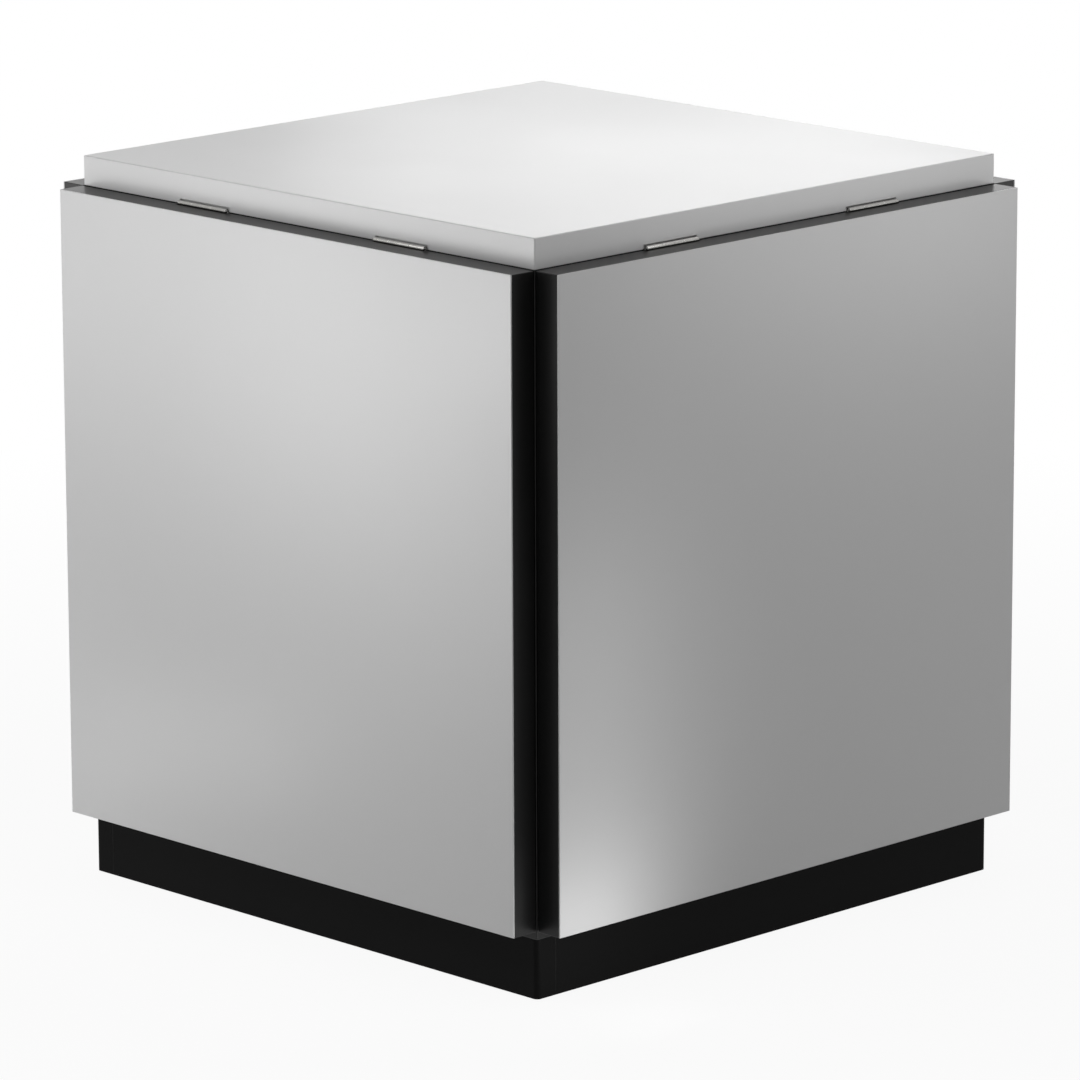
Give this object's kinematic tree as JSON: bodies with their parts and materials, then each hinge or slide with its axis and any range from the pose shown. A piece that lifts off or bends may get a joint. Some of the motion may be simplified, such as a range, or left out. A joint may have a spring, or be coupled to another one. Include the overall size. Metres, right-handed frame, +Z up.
{
  "type": "lift top end table",
  "caption": "Square black end table with a pale top and equal pale side leaves that hang flush and swing up level on butt hinges to widen it.",
  "frame": {"origin": "middle of the footprint, on the floor that the glides rest on", "axes": "+Z up, -Y towards the front leaf, +X towards the right leaf"},
  "size_m": [0.5016, 0.5016, 0.5283],
  "materials": {
    "pale_top": "board with pale silver satin laminate on its top and edges",
    "pale_sheet": "pale silver satin laminate",
    "black_board": "black satin board",
    "black_plinth": "black satin board, a little smoother",
    "bare_wood": "planed softwood",
    "hinge_chrome": "polished nickel plate",
    "stay_steel": "zinc-plated pressed steel",
    "screw_steel": "bright zinc plate",
    "felt": "black felt pad"
  },
  "bodies": {
    "base": {"top_slab": "pale_top", "carcass_top": "black_board", "carcass_bottom": "black_board", "corner_cleats": "bare_wood", "plinth_corner_blocks": "bare_wood", "glides": "felt", "slab_screws": "screw_steel", "leaf_bumpers": "felt", "carcass_front": "black_board", "plinth_front": "black_plinth", "front_hinge_top_plates": "hinge_chrome", "front_stay_case": "stay_steel", "carcass_right": "black_board", "plinth_right": "black_plinth", "right_hinge_top_plates": "hinge_chrome", "right_stay_case": "stay_steel", "carcass_back": "black_board", "plinth_back": "black_plinth", "back_hinge_top_plates": "hinge_chrome", "back_stay_case": "stay_steel", "carcass_left": "black_board", "plinth_left": "black_plinth", "left_hinge_top_plates": "hinge_chrome", "left_stay_case": "stay_steel"},
    "front_leaf": {"front_leaf_panel": "black_board", "front_leaf_face": "pale_sheet", "front_hinge_leaf_plates": "hinge_chrome", "front_hinge_pins": "hinge_chrome", "front_stay_bracket": "stay_steel"},
    "front_arm": {"front_stay_arm": "stay_steel", "front_stay_pins": "stay_steel"},
    "right_leaf": {"right_leaf_panel": "black_board", "right_leaf_face": "pale_sheet", "right_hinge_leaf_plates": "hinge_chrome", "right_hinge_pins": "hinge_chrome", "right_stay_bracket": "stay_steel"},
    "right_arm": {"right_stay_arm": "stay_steel", "right_stay_pins": "stay_steel"},
    "back_leaf": {"back_leaf_panel": "black_board", "back_leaf_face": "pale_sheet", "back_hinge_leaf_plates": "hinge_chrome", "back_hinge_pins": "hinge_chrome", "back_stay_bracket": "stay_steel"},
    "back_arm": {"back_stay_arm": "stay_steel", "back_stay_pins": "stay_steel"},
    "left_leaf": {"left_leaf_panel": "black_board", "left_leaf_face": "pale_sheet", "left_hinge_leaf_plates": "hinge_chrome", "left_hinge_pins": "hinge_chrome", "left_stay_bracket": "stay_steel"},
    "left_arm": {"left_stay_arm": "stay_steel", "left_stay_pins": "stay_steel"}
  },
  "joints": [
    {"name": "front_leaf_hinge", "type": "hinge", "parent": "base", "child": "front_leaf", "pos_m": [0, -0.2301, 0.5076], "axis": [-1, 0, 0], "range_deg": [0, 90]},
    {"name": "front_arm_pivot", "type": "hinge", "parent": "front_leaf", "child": "front_arm", "pos_m": [0, -0.18016, 0.40959], "axis": [-1, 0, 0], "range_deg": [-180, 0]},
    {"name": "right_leaf_hinge", "type": "hinge", "parent": "base", "child": "right_leaf", "pos_m": [0.2301, 0, 0.5076], "axis": [0, -1, 0], "range_deg": [0, 90]},
    {"name": "right_arm_pivot", "type": "hinge", "parent": "right_leaf", "child": "right_arm", "pos_m": [0.18016, 0, 0.40959], "axis": [0, -1, 0], "range_deg": [-180, 0]},
    {"name": "back_leaf_hinge", "type": "hinge", "parent": "base", "child": "back_leaf", "pos_m": [0, 0.2301, 0.5076], "axis": [1, 0, 0], "range_deg": [0, 90]},
    {"name": "back_arm_pivot", "type": "hinge", "parent": "back_leaf", "child": "back_arm", "pos_m": [0, 0.18016, 0.40959], "axis": [1, 0, 0], "range_deg": [-180, 0]},
    {"name": "left_leaf_hinge", "type": "hinge", "parent": "base", "child": "left_leaf", "pos_m": [-0.2301, 0, 0.5076], "axis": [0, 1, 0], "range_deg": [0, 90]},
    {"name": "left_arm_pivot", "type": "hinge", "parent": "left_leaf", "child": "left_arm", "pos_m": [-0.18016, 0, 0.40959], "axis": [0, 1, 0], "range_deg": [-180, 0]}
  ],
  "couplings": [
    {"joint": "front_arm_pivot", "follows": "front_leaf_hinge", "ratio": -2},
    {"joint": "right_arm_pivot", "follows": "right_leaf_hinge", "ratio": -2},
    {"joint": "back_arm_pivot", "follows": "back_leaf_hinge", "ratio": -2},
    {"joint": "left_arm_pivot", "follows": "left_leaf_hinge", "ratio": -2}
  ]
}
